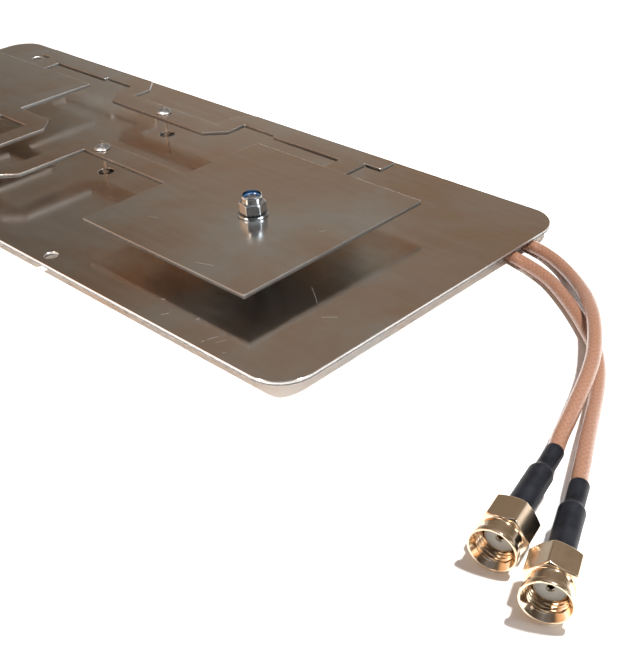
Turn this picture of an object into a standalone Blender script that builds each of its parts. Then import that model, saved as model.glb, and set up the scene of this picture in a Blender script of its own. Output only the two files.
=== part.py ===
"""Open flat-panel antenna: a ground plate, one raised sheet with two square patches and their two
feed networks, and two short coaxial leads that end in reverse-polarity SMA plugs.

The frame: X along the plate towards the end where the leads come out, Y across the plate,
Z up, the origin under the middle of the plate on the surface that the antenna lies on. Metres.
"""
import math

import bmesh
import bpy
from mathutils import Matrix, Vector

MM = 0.001

# Ground plate
PLATE_LENGTH = 220 * MM
PLATE_WIDTH = 90 * MM
PLATE_THICKNESS = 1.0 * MM
PLATE_CORNER = 8.0 * MM
PLATE_BOTTOM = 3.2 * MM
PLATE_TOP = PLATE_BOTTOM + PLATE_THICKNESS
FIXING_HOLES = ((31.3 * MM, -41.5 * MM), (-91.0 * MM, 36.0 * MM))
FIXING_HOLE_RADIUS = 1.6 * MM
FEED_HOLE_RADIUS = 2.1 * MM

# Radiating sheet
SHEET_THICKNESS = 1.0 * MM
SHEET_TOP = PLATE_TOP + 6.3 * MM
SHEET_BOTTOM = SHEET_TOP - SHEET_THICKNESS
PATCH_HALF = 27.25 * MM
PATCH_X = 59.8 * MM
PATCH_Y = -5.4 * MM
MIDDLE_X = -3.7 * MM
STRIP = 6.3 * MM
MITRE = 4.6 * MM
LINK_LEG_X = -24.2 * MM
FAR_LEG_OFFSET = 21.1 * MM
BRIDGE_Y = 20.8 * MM
FAR_STRIP_FAR = 34.4 * MM
FAR_STRIP_NEAR = 28.4 * MM
FAR_STRIP_STEP = 27.3 * MM
TUNING_TAB = 8.3 * MM
TUNING_TAB_NEAR = 29.2 * MM
STUB_HALF = 3.3 * MM
FEED_A = (3.3 * MM, PATCH_Y)
FEED_B = (MIDDLE_X, 20.7 * MM)
FEED_WIRE_HOLE = 0.6 * MM

# M3 fastening at each patch
SCREW_OFFSET = (2.3 * MM, -1.5 * MM)
SCREW_RADIUS = 1.5 * MM
SCREW_HEAD_RADIUS = 2.75 * MM
SCREW_HEAD_HEIGHT = 3.0 * MM
SCREW_LENGTH = 12.0 * MM
SOCKET_ACROSS_FLATS = 2.5 * MM
SOCKET_DEPTH = 1.3 * MM
CLEARANCE_RADIUS = 1.7 * MM
SPACER_RADIUS = 3.0 * MM
WASHER_RADIUS = 3.5 * MM
WASHER_THICKNESS = 0.5 * MM
NUT_ACROSS_FLATS = 5.5 * MM
NUT_HEIGHT = 4.3 * MM
NUT_HEX_HEIGHT = 2.7 * MM
COLLAR_RADIUS = 2.45 * MM
NUT_TURN = math.radians(-10.5)
CONTACT_GAP = 0.15 * MM

# Coaxial leads
CABLE_RADIUS = 1.45 * MM
CABLE_AXIS = CABLE_RADIUS
BRAID_RADIUS = 1.15 * MM
BRAID_START = 2.1 * MM
BRAID_LENGTH = 6.6 * MM
WIRE_RADIUS = 0.3 * MM
WIRE_BEND = 0.8 * MM
WIRE_TIP = SHEET_TOP + 1.7 * MM
CORD_POINT_SPACING = 6.5 * MM
LEAD_SPLIT_X = 104.0 * MM
BUTT_GAP = 0.3 * MM

# Reverse-polarity SMA plugs, measured back from the coupling nut's front face. The middle of that face,
# the heading round from -Y to +X, and the nut's turn: nut B lies on a flat, nut A higher, on a corner.
PLUGS = {
    "a": ((175.7 * MM, -56.8 * MM, 4.62 * MM), math.radians(23.5), math.radians(-22.0)),
    "b": ((163.4 * MM, -53.0 * MM, 4.17 * MM), math.radians(14.1), math.radians(3.4)),
}
PLUG_ACROSS_FLATS = 8.0 * MM
PLUG_NUT_LENGTH = 8.6 * MM
PLUG_HEX_LENGTH = 5.25 * MM
PLUG_NECK_RADIUS = 3.6 * MM
PLUG_LIP_RADIUS = 4.1 * MM
PLUG_LIP_LENGTH = 1.1 * MM
PLUG_MOUTH_RADIUS = 3.7 * MM
PLUG_MOUTH_DEPTH = 0.95 * MM
PLUG_BORE_RADIUS = 2.95 * MM
PLUG_FACE = -3.0 * MM
SLEEVE_STEP = -19.9 * MM
SLEEVE_END = -26.7 * MM
CORD_END_IN_PLUG = -14.3 * MM

# Routes of the leads: x, y and height of the cable's axis, in millimetres
RUN_A_ROUTE = ((12.2, -5.4, 1.45), (20, -5.2, 1.45), (32, -3.0, 1.45), (46, 4.0, 1.45), (60, 13.0, 1.45),
               (74, 21.0, 1.45), (88, 26.2, 1.45), (97, 27.4, 1.45), (103.7, 27.4, 1.45))
RUN_B_ROUTE = ((5.2, 20.7, 1.45), (14, 20.9, 1.45), (30, 23.0, 1.45), (50, 27.6, 1.45), (70, 32.0, 1.45),
               (85, 34.2, 1.45), (95, 34.6, 1.45), (103.7, 34.1, 1.45))
CORD_A_ROUTE = ((104.0, 27.4, 1.45), (107.6, 27.2, 1.45), (111.5, 26.4, 1.45), (116.7, 25.0, 1.45),
                (121.9, 22.9, 1.45), (127.9, 19.2, 1.45), (133.4, 15.2, 1.45), (138.2, 11.3, 1.45),
                (142.0, 7.8, 1.45), (145.6, 3.6, 1.45), (148.8, -1.2, 1.5), (151.95, -6.9, 1.85),
                (155.2, -13.3, 2.55), (158.4, -19.7, 3.4), (161.7, -26.1, 4.15), (164.2, -31.1, 4.52))
CORD_B_ROUTE = ((104.0, 34.1, 1.45), (107.9, 33.8, 1.45), (111.6, 33.2, 1.45), (115.7, 31.9, 1.5),
                (119.6, 30.0, 1.6), (123.8, 27.3, 1.9), (128.3, 23.7, 2.5), (133.2, 19.0, 3.5),
                (138.3, 12.9, 4.55), (143.1, 6.1, 4.9), (146.7, -0.1, 4.9), (149.3, -6.0, 4.8),
                (151.5, -12.0, 4.6), (153.6, -18.0, 4.4), (155.3, -23.2, 4.22))


def clear_scene():
    for item in list(bpy.data.objects):
        bpy.data.objects.remove(item, do_unlink=True)


def new_collection(name):
    group = bpy.data.collections.new(name)
    bpy.context.scene.collection.children.link(group)
    return group


def new_material(name, colour, roughness, metallic):
    material = bpy.data.materials.new(name)
    material.use_nodes = True
    shader = material.node_tree.nodes["Principled BSDF"]
    shader.inputs["Base Color"].default_value = (*colour, 1.0)
    shader.inputs["Roughness"].default_value = roughness
    shader.inputs["Metallic"].default_value = metallic
    return material


clear_scene()
ANTENNA = new_collection("panel_antenna")
CUTTERS = new_collection("cutters")

LOOKS = {
    "plate_metal": ((0.52, 0.47, 0.42), 0.28, 1.0),
    "sheet_metal": ((0.56, 0.51, 0.46), 0.34, 1.0),
    "zinc_steel": ((0.72, 0.73, 0.75), 0.22, 1.0),
    "spacer_metal": ((0.62, 0.62, 0.62), 0.35, 1.0),
    "nylon_blue": ((0.03, 0.16, 0.46), 0.4, 0.0),
    "solder": ((0.70, 0.70, 0.70), 0.25, 1.0),
    "tinned_braid": ((0.66, 0.65, 0.62), 0.35, 1.0),
    "tinned_wire": ((0.78, 0.76, 0.72), 0.2, 1.0),
    "ptfe": ((0.80, 0.80, 0.76), 0.45, 0.0),
    "cable_jacket": ((0.55, 0.30, 0.19), 0.35, 0.0),
    "glue": ((0.78, 0.74, 0.62), 0.3, 0.0),
    "heat_shrink": ((0.02, 0.02, 0.024), 0.5, 0.0),
    "gold_plate": ((0.80, 0.62, 0.38), 0.18, 1.0),
    "bronze": ((0.55, 0.36, 0.20), 0.35, 1.0),
}


def finish(item, look, smooth_angle=35.0):
    """Give an object its own material and shade its round faces smooth."""
    item.data.materials.clear()
    item.data.materials.append(new_material(f"{item.name}_{look}", *LOOKS[look]))
    if item.type == "MESH":
        item.data.shade_smooth()
        item.data.set_sharp_from_angle(angle=math.radians(smooth_angle))
    return item


def place(name, data, group, location=(0, 0, 0), rotation=(0, 0, 0)):
    item = bpy.data.objects.new(name, data)
    group.objects.link(item)
    item.location = location
    item.rotation_euler = rotation
    return item


def as_mesh(guide):
    """Replace a curve object by a mesh object of the same shape, with its caps welded on."""
    bpy.context.view_layer.update()
    graph = bpy.context.evaluated_depsgraph_get()
    mesh = bpy.data.meshes.new_from_object(guide.evaluated_get(graph), depsgraph=graph)
    work = bmesh.new()
    work.from_mesh(mesh)
    bmesh.ops.remove_doubles(work, verts=work.verts, dist=0.000002)
    bmesh.ops.recalc_face_normals(work, faces=work.faces)
    work.to_mesh(mesh)
    work.free()
    name, group = guide.name, guide.users_collection[0]
    matrix = guide.matrix_world.copy()
    bpy.data.objects.remove(guide, do_unlink=True)
    item = place(name, mesh, group)
    item.matrix_world = matrix
    return item


def circle(centre, radius, count):
    steps = (2 * math.pi * i / count for i in range(count))
    return [(centre[0] + radius * math.cos(a), centre[1] + radius * math.sin(a)) for a in steps]


def rounded_rectangle(length, width, radius, steps):
    points = []
    for quarter, (side_x, side_y) in enumerate(((1, 1), (-1, 1), (-1, -1), (1, -1))):
        centre_x = side_x * (length / 2 - radius)
        centre_y = side_y * (width / 2 - radius)
        for i in range(steps + 1):
            angle = math.pi / 2 * (quarter + i / steps)
            points.append((centre_x + radius * math.cos(angle), centre_y + radius * math.sin(angle)))
    return points


def flat_solid(name, outlines, bottom, top, look):
    """A plate: the first outline is its edge, the others are its holes."""
    curve = bpy.data.curves.new(name, "CURVE")
    curve.dimensions = "2D"
    curve.fill_mode = "BOTH"
    curve.extrude = (top - bottom) / 2
    for outline in outlines:
        spline = curve.splines.new("POLY")
        spline.points.add(len(outline) - 1)
        for point, (x, y) in zip(spline.points, outline):
            point.co = (x, y, 0, 1)
        spline.use_cyclic_u = True
    guide = place(name, curve, ANTENNA, (0, 0, (bottom + top) / 2))
    return finish(as_mesh(guide), look)


def turned(name, profile, look=None, at=(0, 0, 0), heading=None, segments=32, hollow=False, group=None):
    """Turn a profile of (radius, height) in millimetres about Z.

    The profile runs down its outer side from top to bottom. A hollow one comes back up its
    bore and closes. With a heading the axis lies flat, pointing that far round from -Y to +X.
    """
    mesh = bpy.data.meshes.new(name)
    work = bmesh.new()
    verts = [work.verts.new((r * MM, 0, z * MM)) for r, z in profile]
    ends = verts[1:] + verts[:1] if hollow else verts[1:]
    for start, end in zip(verts, ends):
        work.edges.new((start, end))
    work.to_mesh(mesh)
    work.free()
    rotation = (0, 0, 0) if heading is None else (math.pi / 2, 0, heading)
    item = place(name, mesh, group or ANTENNA, at, rotation)
    screw = item.modifiers.new("turn", "SCREW")
    screw.axis = "Z"
    screw.steps = segments
    screw.render_steps = segments
    screw.use_merge_vertices = True
    screw.merge_threshold = 0.00001
    screw.use_smooth_shade = True
    return finish(item, look) if look else item


def hide_cutter(cutter):
    cutter.hide_render = True
    cutter.display_type = "WIRE"
    return cutter


def hex_prism(name, across_flats, low, high, at, heading=None, twist=0.0):
    """A hexagonal cutter with a corner on its local X axis, turned by twist about its own axis."""
    mesh = bpy.data.meshes.new(name)
    work = bmesh.new()
    corner = across_flats / math.sqrt(3)
    bmesh.ops.create_cone(work, cap_ends=True, segments=6, radius1=corner, radius2=corner, depth=high - low)
    work.verts.ensure_lookup_table()
    first = work.verts[0].co
    angle = twist - math.atan2(first.y, first.x)
    bmesh.ops.rotate(work, verts=work.verts, cent=(0, 0, 0), matrix=Matrix.Rotation(angle, 3, "Z"))
    bmesh.ops.translate(work, verts=work.verts, vec=(0, 0, (low + high) / 2))
    work.to_mesh(mesh)
    work.free()
    rotation = (0, 0, 0) if heading is None else (math.pi / 2, 0, heading)
    return hide_cutter(place(name, mesh, CUTTERS, at, rotation))


def cut(item, cutter, operation):
    step = item.modifiers.new(operation.lower(), "BOOLEAN")
    step.operation = operation
    step.solver = "EXACT"
    step.object = cutter


def smooth_path(route, spacing):
    """Points every spacing along a smooth curve (Catmull-Rom) through a route in millimetres."""
    knots = [Vector(p) * MM for p in route]
    knots = [knots[0] * 2 - knots[1]] + knots + [knots[-1] * 2 - knots[-2]]
    fine = []
    for p0, p1, p2, p3 in zip(knots, knots[1:], knots[2:], knots[3:]):
        for i in range(20):
            t = i / 20
            fine.append(0.5 * ((2 * p1) + (p2 - p0) * t + (2 * p0 - 5 * p1 + 4 * p2 - p3) * t ** 2
                               + (3 * p1 - p0 - 3 * p2 + p3) * t ** 3))
    fine.append(knots[-2])
    lengths = [0.0]
    for a, b in zip(fine, fine[1:]):
        lengths.append(lengths[-1] + (b - a).length)
    count = max(2, round(lengths[-1] / spacing))
    points = []
    k = 0
    for i in range(count + 1):
        want = lengths[-1] * i / count
        while k < len(lengths) - 2 and lengths[k + 1] < want:
            k += 1
        share = (want - lengths[k]) / (lengths[k + 1] - lengths[k])
        points.append(fine[k].lerp(fine[k + 1], share))
    return points


def tube(name, points, radius, look):
    curve = bpy.data.curves.new(name, "CURVE")
    curve.dimensions = "3D"
    curve.bevel_depth = radius
    curve.bevel_resolution = 2
    curve.use_fill_caps = True
    spline = curve.splines.new("POLY")
    spline.points.add(len(points) - 1)
    for point, place_at in zip(spline.points, points):
        point.co = (*place_at, 1)
    return finish(as_mesh(place(name, curve, ANTENNA)), look, 60.0)


def along(front, heading, distance):
    """The point on a plug's axis at a distance ahead of its front face, in millimetres."""
    x = front[0] + math.sin(heading) * distance
    y = front[1] - math.cos(heading) * distance
    return (x / MM, y / MM, front[2] / MM)


def sheet_outlines():
    """The sheet's outer edge and its one inner edge: both networks join the two patches in a ring."""
    half = STRIP / 2
    near, far = PATCH_Y - PATCH_HALF, PATCH_Y + PATCH_HALF
    right, inner = PATCH_X + PATCH_HALF, PATCH_X - PATCH_HALF
    strip_low, strip_high = PATCH_Y - half, PATCH_Y + half
    leg_right, leg_left = MIDDLE_X + half, MIDDLE_X - half
    link_right, link_left = LINK_LEG_X + half, LINK_LEG_X - half
    link_top = near + STRIP
    bridge_low, bridge_high = BRIDGE_Y - half, BRIDGE_Y + half
    far_leg_in = MIDDLE_X + FAR_LEG_OFFSET - half
    far_leg_out = MIDDLE_X + FAR_LEG_OFFSET + half

    def mirrored(points):
        return [(2 * MIDDLE_X - x, y) for x, y in reversed(points)]

    far_side = [
        (right, near), (right, far), (PATCH_X + STUB_HALF, far), (PATCH_X + STUB_HALF, TUNING_TAB_NEAR),
        (PATCH_X + TUNING_TAB, TUNING_TAB_NEAR), (PATCH_X + TUNING_TAB, FAR_STRIP_FAR),
        (far_leg_in + MITRE, FAR_STRIP_FAR), (far_leg_in, FAR_STRIP_FAR - MITRE), (far_leg_in, bridge_high),
    ]
    near_side = [
        (2 * MIDDLE_X - inner, near), (2 * MIDDLE_X - inner, strip_low), (link_left, strip_low),
        (link_left, near + MITRE), (link_left + MITRE, near), (leg_right - MITRE, near),
        (leg_right, near + MITRE), (leg_right, strip_low), (inner, strip_low), (inner, near),
    ]
    outer = far_side + mirrored(far_side) + near_side

    inside_near = [
        (inner, strip_high), (leg_left + MITRE, strip_high), (leg_left, strip_high - MITRE),
        (leg_left, link_top), (link_right, link_top), (link_right, strip_high - MITRE),
        (link_right - MITRE, strip_high), (2 * MIDDLE_X - inner, strip_high),
    ]
    inside_far = [
        (far_leg_out - MITRE, bridge_low), (far_leg_out, bridge_low + MITRE), (far_leg_out, FAR_STRIP_NEAR),
        (inner, FAR_STRIP_NEAR), (inner, FAR_STRIP_STEP), (PATCH_X - STUB_HALF, FAR_STRIP_STEP),
        (PATCH_X - STUB_HALF, far), (inner, far),
    ]
    inside = inside_near + mirrored(inside_far) + inside_far
    return outer, inside


def screw_places():
    right = (PATCH_X + SCREW_OFFSET[0], PATCH_Y + SCREW_OFFSET[1])
    return {"right": right, "left": (2 * MIDDLE_X - right[0], right[1])}


def build_plate_and_sheet():
    plate_holes = [circle(spot, FIXING_HOLE_RADIUS, 24) for spot in FIXING_HOLES]
    plate_holes += [circle(spot, FEED_HOLE_RADIUS, 32) for spot in (FEED_A, FEED_B)]
    plate_holes += [circle(spot, CLEARANCE_RADIUS, 24) for spot in screw_places().values()]
    edge = rounded_rectangle(PLATE_LENGTH, PLATE_WIDTH, PLATE_CORNER, 10)
    flat_solid("ground_plate", [edge] + plate_holes, PLATE_BOTTOM, PLATE_TOP, "plate_metal")
    sheet_holes = [circle(spot, FEED_WIRE_HOLE, 16) for spot in (FEED_A, FEED_B)]
    sheet_holes += [circle(spot, CLEARANCE_RADIUS, 24) for spot in screw_places().values()]
    flat_solid("radiator_sheet", [*sheet_outlines()] + sheet_holes, SHEET_BOTTOM, SHEET_TOP, "sheet_metal")


def build_fastening(side, spot):
    """Socket-head cap screw from below, spacer, sheet, washer and locking nut with its nylon ring."""
    at = (spot[0], spot[1], 0)
    head, shank = SCREW_HEAD_RADIUS / MM, SCREW_RADIUS / MM
    shoulder, tip = SCREW_HEAD_HEIGHT / MM, (SCREW_HEAD_HEIGHT + SCREW_LENGTH) / MM
    screw = turned(f"patch_screw_{side}", [
        (0, tip), (shank - 0.4, tip), (shank, tip - 0.4), (shank, shoulder), (head - 0.1, shoulder),
        (head, shoulder - 0.1), (head, 0.25), (head - 0.25, 0), (0, 0)], "zinc_steel", at, segments=32)
    socket = hex_prism(f"socket_cutter_{side}", SOCKET_ACROSS_FLATS, -1 * MM, SOCKET_DEPTH, at)
    cut(screw, socket, "DIFFERENCE")

    low, high = (PLATE_TOP + CONTACT_GAP) / MM, (SHEET_BOTTOM - CONTACT_GAP) / MM
    outside, bore = SPACER_RADIUS / MM, CLEARANCE_RADIUS / MM
    turned(f"spacer_{side}", [
        (bore, high), (outside - 0.2, high), (outside, high - 0.2), (outside, low + 0.2), (outside - 0.2, low),
        (bore, low)], "spacer_metal", at, segments=32, hollow=True)

    low = (SHEET_TOP + CONTACT_GAP) / MM
    high = low + WASHER_THICKNESS / MM
    outside = WASHER_RADIUS / MM
    turned(f"washer_{side}", [
        (bore, high), (outside - 0.1, high), (outside, high - 0.12), (outside, low), (bore, low)],
        "zinc_steel", at, segments=40, hollow=True)

    low = high + CONTACT_GAP / MM
    top = low + NUT_HEIGHT / MM
    hexagon = low + NUT_HEX_HEIGHT / MM
    corner = NUT_ACROSS_FLATS / MM / math.sqrt(3)
    collar = COLLAR_RADIUS / MM
    thread = shank + 0.15
    nut = turned(f"lock_nut_{side}", [
        (1.95, top), (2.12, top), (2.3, top - 0.1), (collar - 0.04, top - 0.3), (collar, top - 0.6),
        (collar, hexagon + 0.1), (corner - 0.4, hexagon), (corner, hexagon - 0.3), (corner, low + 0.25),
        (corner - 0.4, low), (thread + 0.15, low), (thread, low + 0.15), (thread, top - 1.5), (2.15, top - 1.5),
        (2.15, top - 0.3)], "zinc_steel", at, segments=36, hollow=True)
    cut(nut, hex_prism(f"nut_cutter_{side}", NUT_ACROSS_FLATS, low * MM - MM, top * MM + MM, at,
                       twist=NUT_TURN), "INTERSECT")
    turned(f"nylon_ring_{side}", [
        (thread - 0.05, top - 0.6), (1.95, top - 0.55), (2.03, top - 0.7), (2.03, top - 1.38),
        (thread - 0.05, top - 1.38)], "nylon_blue", at, segments=32, hollow=True)


def build_feed(port, spot):
    """Bare core, its PTFE tube, the solder joint on the strip and the soldered braid under the plate."""
    x, y = spot
    arc = []
    for i in range(7):
        angle = math.pi / 2 * i / 6
        arc.append((x + WIRE_BEND * (1 - math.sin(angle)), y, CABLE_AXIS + WIRE_BEND * (1 - math.cos(angle))))
    start = (x + BRAID_START - BUTT_GAP, y, CABLE_AXIS)
    tube(f"feed_wire_{port}", [start] + arc + [(x, y, WIRE_TIP)], WIRE_RADIUS, "tinned_wire")

    turned(f"feed_insulator_{port}", [
        (0.5, 4.4), (0.8, 4.4), (0.85, 4.3), (0.85, 2.75), (0.5, 2.75)], "ptfe", (x, y, 0),
        segments=20, hollow=True)

    low = (SHEET_TOP + CONTACT_GAP) / MM
    turned(f"feed_solder_{port}", [
        (0.45, low + 1.1), (0.7, low + 1.02), (1.1, low + 0.86), (1.6, low + 0.6), (2.0, low + 0.32),
        (2.2, low + 0.1), (2.2, low), (0.45, low)], "solder", (x, y, 0), segments=32, hollow=True)

    braid_from, braid_to = x + BRAID_START, x + BRAID_START + BRAID_LENGTH
    tube(f"braid_end_{port}", [(braid_from, y, CABLE_AXIS), (braid_to, y, CABLE_AXIS)], BRAID_RADIUS,
         "tinned_braid")

    mesh = bpy.data.meshes.new(f"ground_solder_{port}")
    work = bmesh.new()
    bmesh.ops.create_cube(work, size=1.0)
    length, width, low, high = 4.4 * MM, 5.2 * MM, 0.9 * MM, PLATE_BOTTOM - CONTACT_GAP
    bmesh.ops.scale(work, verts=work.verts, vec=(length, width, high - low))
    bmesh.ops.translate(work, verts=work.verts, vec=(0, 0, (low + high) / 2))
    work.to_mesh(mesh)
    work.free()
    middle = ((braid_from + braid_to) / 2, y, 0)
    loaf = place(f"ground_solder_{port}", mesh, ANTENNA, middle)
    bevel = loaf.modifiers.new("round", "BEVEL")
    bevel.width = 0.9 * MM
    bevel.segments = 3
    bevel.limit_method = "ANGLE"
    tunnel = turned(f"tunnel_cutter_{port}", [(0, 10), (1.3, 10), (1.3, -10), (0, -10)],
                    at=(middle[0], y, CABLE_AXIS), heading=math.pi / 2, segments=24, group=CUTTERS)
    cut(loaf, hide_cutter(tunnel), "DIFFERENCE")
    finish(loaf, "solder", 50.0)


def build_glue_bead():
    """A bead of adhesive between the two leads, just inside the plate's end."""
    mesh = bpy.data.meshes.new("glue_bead")
    work = bmesh.new()
    bmesh.ops.create_cube(work, size=1.0)
    low, high = 0.7 * MM, PLATE_BOTTOM - CONTACT_GAP
    bmesh.ops.scale(work, verts=work.verts, vec=(9.0 * MM, 3.6 * MM, high - low))
    bmesh.ops.translate(work, verts=work.verts, vec=(0, 0, (low + high) / 2))
    work.to_mesh(mesh)
    work.free()
    bead = place("glue_bead", mesh, ANTENNA, (96.0 * MM, 30.85 * MM, 0))
    bevel = bead.modifiers.new("round", "BEVEL")
    bevel.width = 1.0 * MM
    bevel.segments = 3
    finish(bead, "glue", 60.0)


def build_plug(port):
    """One reverse-polarity SMA plug: all its pieces are turned about the plug's axis."""
    front, heading, twist = PLUGS[port]

    def piece(name, profile, look, segments=40, hollow=True):
        return turned(f"{name}_{port}", profile, look, front, heading, segments, hollow)

    back, hexagon = -PLUG_NUT_LENGTH / MM, (PLUG_HEX_LENGTH - PLUG_NUT_LENGTH) / MM
    corner = PLUG_ACROSS_FLATS / MM / math.sqrt(3)
    neck, lip, bore = PLUG_NECK_RADIUS / MM, PLUG_LIP_RADIUS / MM, PLUG_BORE_RADIUS / MM
    mouth, mouth_end = PLUG_MOUTH_RADIUS / MM, -PLUG_MOUTH_DEPTH / MM
    lip_back = -PLUG_LIP_LENGTH / MM
    nut = piece("coupling_nut", [
        (mouth, 0), (lip - 0.12, 0), (lip, -0.12), (lip, lip_back + 0.1), (lip - 0.1, lip_back),
        (neck, lip_back - 0.15), (neck, hexagon + 0.1), (corner - 0.5, hexagon), (corner, hexagon - 0.35),
        (corner, back + 0.35), (corner - 0.6, back), (2.6, back), (2.6, -7.4), (3.25, -7.4), (3.25, -4.7),
        (bore, -4.5), (bore, mouth_end)], "gold_plate", 48)
    cut(nut, hex_prism(f"plug_cutter_{port}", PLUG_ACROSS_FLATS, -12 * MM, 3 * MM, front, heading, twist),
        "INTERSECT")

    face = PLUG_FACE / MM
    piece("connector_body", [
        (0, -8.2), (1.7, -8.2), (1.7, -5.6), (2.38, -5.6), (2.38, face), (2.55, face), (2.55, -4.9), (2.95, -5.0),
        (2.95, -5.9), (2.45, -5.9), (2.45, -6.5), (2.05, -6.5), (2.05, -7.2), (2.45, -7.2), (2.45, -9.0),
        (1.4, -9.0), (1.4, -14.0), (0, -14.0)], "gold_plate", 40, hollow=False)
    piece("retaining_ring", [
        (2.15, -6.6), (3.0, -6.6), (3.05, -6.65), (3.05, -7.05), (3.0, -7.1), (2.15, -7.1)], "bronze", 32)
    piece("dielectric", [
        (0.75, face), (2.23, face), (2.23, -5.45), (1.55, -5.45), (1.55, -8.0), (0.75, -8.0)], "ptfe", 32)
    piece("centre_contact", [
        (0, face - 2.6), (0.45, face - 2.6), (0.45, face - 0.3), (0.62, face - 0.3), (0.62, -7.9), (0, -7.9)],
        "gold_plate", 24, hollow=False)
    piece("crimp_ferrule", [
        (1.6, -9.3), (1.85, -9.3), (1.85, -17.3), (1.6, -17.3)], "gold_plate", 32)
    step, end = SLEEVE_STEP / MM, SLEEVE_END / MM
    piece("heat_shrink", [
        (1.98, -9.15), (2.12, -9.15), (2.2, -9.3), (2.2, step), (2.08, step - 0.4), (1.8, step - 0.8),
        (1.7, step - 1.2), (1.7, end), (1.55, end), (1.55, step - 1.0), (1.98, step)], "heat_shrink", 32)


def build_leads():
    routes = {"a": (RUN_A_ROUTE, CORD_A_ROUTE), "b": (RUN_B_ROUTE, CORD_B_ROUTE)}
    inside_plug = (SLEEVE_END + 0.5 * MM, (SLEEVE_END + CORD_END_IN_PLUG) / 2, CORD_END_IN_PLUG)
    for port, (run, cord) in routes.items():
        tube(f"cable_run_{port}", smooth_path(run, CORD_POINT_SPACING), CABLE_RADIUS, "cable_jacket")
        front, heading, _ = PLUGS[port]
        tail = [along(front, heading, distance) for distance in inside_plug]
        tube(f"cable_{port}", smooth_path([*cord, *tail], CORD_POINT_SPACING), CABLE_RADIUS, "cable_jacket")
        build_plug(port)


build_plate_and_sheet()
for side_name, screw_spot in screw_places().items():
    build_fastening(side_name, screw_spot)
for port_name, feed_spot in (("a", FEED_A), ("b", FEED_B)):
    build_feed(port_name, feed_spot)
build_glue_bead()
build_leads()
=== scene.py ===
"""Looks of the open dual-port panel antenna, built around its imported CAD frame."""
import math

import bmesh
import bpy
from mathutils import Matrix, Vector, noise


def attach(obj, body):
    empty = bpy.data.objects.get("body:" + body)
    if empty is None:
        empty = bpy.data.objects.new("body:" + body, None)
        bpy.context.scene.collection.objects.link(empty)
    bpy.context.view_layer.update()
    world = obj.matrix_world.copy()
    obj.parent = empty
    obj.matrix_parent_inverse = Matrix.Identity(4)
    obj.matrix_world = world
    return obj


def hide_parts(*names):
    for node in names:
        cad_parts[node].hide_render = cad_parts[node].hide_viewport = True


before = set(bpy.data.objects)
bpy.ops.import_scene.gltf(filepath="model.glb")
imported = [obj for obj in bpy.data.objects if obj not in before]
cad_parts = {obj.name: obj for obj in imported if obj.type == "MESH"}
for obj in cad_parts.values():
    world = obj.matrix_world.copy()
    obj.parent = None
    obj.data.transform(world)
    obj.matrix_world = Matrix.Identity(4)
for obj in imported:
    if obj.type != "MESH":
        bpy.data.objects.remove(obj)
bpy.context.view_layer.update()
MM = 0.001

# All sizes and places below are in mm, in the CAD's own coordinates.
PLATE_SIZE = (220, 90, 8)       # length, width, corner radius
PLATE_BOTTOM, PLATE_TOP = 3.2, 4.2
SHEET_BOTTOM, SHEET_TOP = 9.5, 10.5
PATCH_X, PATCH_Y, PATCH_HALF, MIDDLE_X = 59.8, -5.4, 27.25, -3.7
FIXING_HOLES = ((31.3, -41.5), (-91.0, 36.0))
SCREWS = {"right": (62.1, -6.9), "left": (-69.5, -6.9)}
FEEDS = {"a": (3.3, PATCH_Y), "b": (MIDDLE_X, 20.7)}
PLUGS = {       # front face's middle, heading, twist of the coupling nut
    "a": ((175.7, -56.8, 4.62), math.radians(23.5), math.radians(-22.0)),
    "b": ((163.4, -53.0, 4.17), math.radians(14.1), math.radians(3.4)),
}
CABLE_RADIUS = 1.45
CLEAR = 0.15            # the CAD's gap between solids that touch on the real antenna
HEX = math.sqrt(3)      # a hexagon's width across its flats, over its corner radius
ROUND_POWER = 60        # how crisply a nut's chamfer meets its flats
PLUG_NUT_FLATS, PLUG_THREAD_PITCH = 8.0, 0.7056
M3_NUT_FLATS, M3_SOCKET_FLATS, M3_PITCH = 5.5, 2.5, 0.5


def linked(name, data):
    """A new object, in the scene."""
    item = bpy.data.objects.new(name, data)
    bpy.context.scene.collection.objects.link(item)
    return item


# ---------------- camera

def make_camera():
    """The photo's viewpoint, fitted to the outlines of the plate, patches, nuts and plugs."""
    data = bpy.data.cameras.new("camera")
    data.sensor_width = 36
    data.lens = 60.59
    data.clip_start = 0.01
    data.clip_end = 20
    camera = linked("camera", data)
    forward = Vector((-0.61064, 0.58395, -0.53490)).normalized()
    right = forward.cross(Vector((-0.34426, 0.41255, 0.84338))).normalized()
    up = right.cross(forward)
    turn = Matrix((right, up, -forward)).transposed().to_4x4()
    camera.matrix_world = Matrix.Translation(Vector((0.23632, -0.15586, 0.12237))) @ turn
    bpy.context.scene.camera = camera


make_camera()


# ---------------- node helpers

def wired(tree, kind, inputs, output=0, **settings):
    """An output of a new node whose inputs, in order or by name, are linked or filled in."""
    node = tree.nodes.new(kind)
    for name, value in settings.items():
        setattr(node, name, value)
    for socket, value in inputs.items() if isinstance(inputs, dict) else enumerate(inputs):
        if isinstance(value, bpy.types.NodeSocket):
            tree.links.new(value, node.inputs[socket])
        else:
            node.inputs[socket].default_value = value
    return node.outputs[output]


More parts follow.
